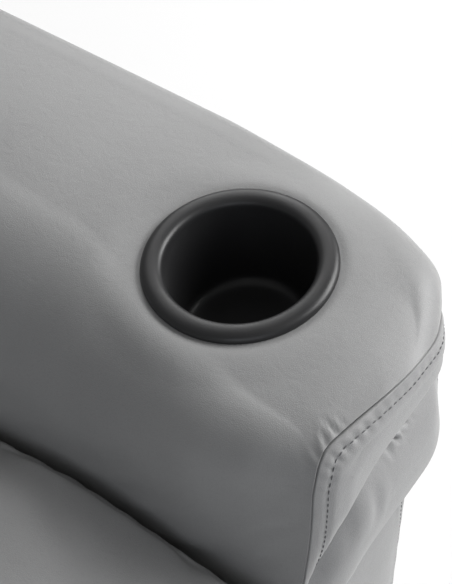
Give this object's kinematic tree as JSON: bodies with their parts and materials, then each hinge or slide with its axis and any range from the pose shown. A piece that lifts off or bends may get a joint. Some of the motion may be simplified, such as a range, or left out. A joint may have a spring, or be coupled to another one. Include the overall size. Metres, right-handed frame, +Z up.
{
  "type": "recliner chair",
  "caption": "Overstuffed recliner with cup holders in its arms, a lever-driven footrest on steel linkages and a back that reclines as the seat slides forward.",
  "frame": {"origin": "the middle of the chair's outline on the floor, with the footrest closed and the back upright", "axes": "+Z up, -Y out of the chair's front, +X towards the sitter's left arm"},
  "size_m": [0.9692, 0.8828, 1.0702],
  "materials": {
    "leather": "satin",
    "plastic": "satin",
    "steel": "satin",
    "wood": "matte",
    "spring_steel": "satin"
  },
  "bodies": {
    "base": {"arm_frame_left": "wood", "arm_frame_right": "wood", "arm_front_pillow_left": "leather", "arm_front_pillow_right": "leather", "arm_inner_panel_left": "leather", "arm_inner_panel_right": "leather", "arm_outer_panel_left": "leather", "arm_outer_panel_right": "leather", "arm_pad_left": "leather", "arm_pad_right": "leather", "cup_holder_left": "plastic", "cup_holder_right": "plastic", "foot_front_left": "plastic", "foot_front_right": "plastic", "foot_rear_left": "plastic", "foot_rear_right": "plastic", "front_rail": "wood", "lever_collar": "plastic", "rear_rail": "wood", "side_plate_left": "steel", "side_plate_right": "steel"},
    "drive": {"drive_shaft": "steel", "release_lever": "plastic"},
    "drive_rod": {"drive_rod_left": "steel", "drive_rod_right": "steel"},
    "long_link": {"long_link_left": "steel", "long_link_right": "steel"},
    "short_link": {"short_link_left": "steel", "short_link_right": "steel"},
    "cross_link": {"cross_link_left": "steel", "cross_link_right": "steel"},
    "outer_link": {"outer_link_left": "steel", "outer_link_right": "steel"},
    "footrest": {"footrest_board": "wood", "footrest_bracket_left": "steel", "footrest_bracket_right": "steel", "footrest_pad": "leather"},
    "seat": {"seat_bracket_left": "steel", "seat_bracket_right": "steel", "seat_cushion": "leather", "seat_rail_front": "wood", "seat_rail_rear": "wood", "seat_spring_1": "spring_steel", "seat_spring_2": "spring_steel", "seat_spring_3": "spring_steel"},
    "front_hanger": {"front_hanger_left": "steel", "front_hanger_right": "steel"},
    "backrest": {"back_bolster_left": "leather", "back_bolster_right": "leather", "back_bracket_left": "steel", "back_bracket_right": "steel", "back_flap": "leather", "back_outer_panel": "leather", "back_rail_high": "wood", "back_rail_low": "wood", "back_stile_left": "wood", "back_stile_right": "wood", "lumbar_cushion": "leather", "upper_back_cushion": "leather", "headrest_cushion": "leather"}
  },
  "joints": [
    {"name": "long_link_hinge", "type": "hinge", "parent": "base", "child": "long_link", "pos_m": [0.00965, -0.30713, 0.315], "axis": [-1, 0, 0], "range_deg": [0, 95]},
    {"name": "short_link_hinge", "type": "hinge", "parent": "base", "child": "short_link", "pos_m": [0.00965, -0.19713, 0.315], "axis": [-1, 0, 0], "range_deg": [0, 95]},
    {"name": "cross_link_hinge", "type": "hinge", "parent": "long_link", "child": "cross_link", "pos_m": [0.00965, -0.18513, 0.085], "axis": [-1, 0, 0], "range_deg": [-95, 0]},
    {"name": "outer_link_hinge", "type": "hinge", "parent": "long_link", "child": "outer_link", "pos_m": [0.00965, -0.18513, 0.155], "axis": [-1, 0, 0], "range_deg": [-95, 0]},
    {"name": "footrest_hinge", "type": "hinge", "parent": "cross_link", "child": "footrest", "pos_m": [0.00965, -0.35713, 0.232], "axis": [-1, 0, 0], "range_deg": [0, 95]},
    {"name": "drive_hinge", "type": "hinge", "parent": "base", "child": "drive", "pos_m": [0.00965, 0.00287, 0.24], "axis": [-1, 0, 0], "range_deg": [0, 95]},
    {"name": "drive_rod_hinge", "type": "hinge", "parent": "drive", "child": "drive_rod", "pos_m": [0.00965, 0.03333, 0.18258], "axis": [-1, 0, 0], "range_deg": [-95, 0]},
    {"name": "backrest_hinge", "type": "hinge", "parent": "base", "child": "backrest", "pos_m": [0.00965, 0.26287, 0.33], "axis": [-1, 0, 0], "range_deg": [0, 35]},
    {"name": "front_hanger_hinge", "type": "hinge", "parent": "base", "child": "front_hanger", "pos_m": [0.00965, -0.07713, 0.325], "axis": [-1, 0, 0], "range_deg": [0, 35]},
    {"name": "seat_hinge", "type": "hinge", "parent": "backrest", "child": "seat", "pos_m": [0.00965, 0.26287, 0.24], "axis": [-1, 0, 0], "range_deg": [-35, 0]}
  ],
  "couplings": [
    {"joint": "short_link_hinge", "follows": "long_link_hinge", "ratio": 1},
    {"joint": "cross_link_hinge", "follows": "long_link_hinge", "ratio": -1},
    {"joint": "outer_link_hinge", "follows": "long_link_hinge", "ratio": -1},
    {"joint": "footrest_hinge", "follows": "long_link_hinge", "ratio": 1},
    {"joint": "drive_hinge", "follows": "long_link_hinge", "ratio": 1},
    {"joint": "drive_rod_hinge", "follows": "long_link_hinge", "ratio": -1},
    {"joint": "front_hanger_hinge", "follows": "backrest_hinge", "ratio": 1},
    {"joint": "seat_hinge", "follows": "backrest_hinge", "ratio": -1}
  ]
}
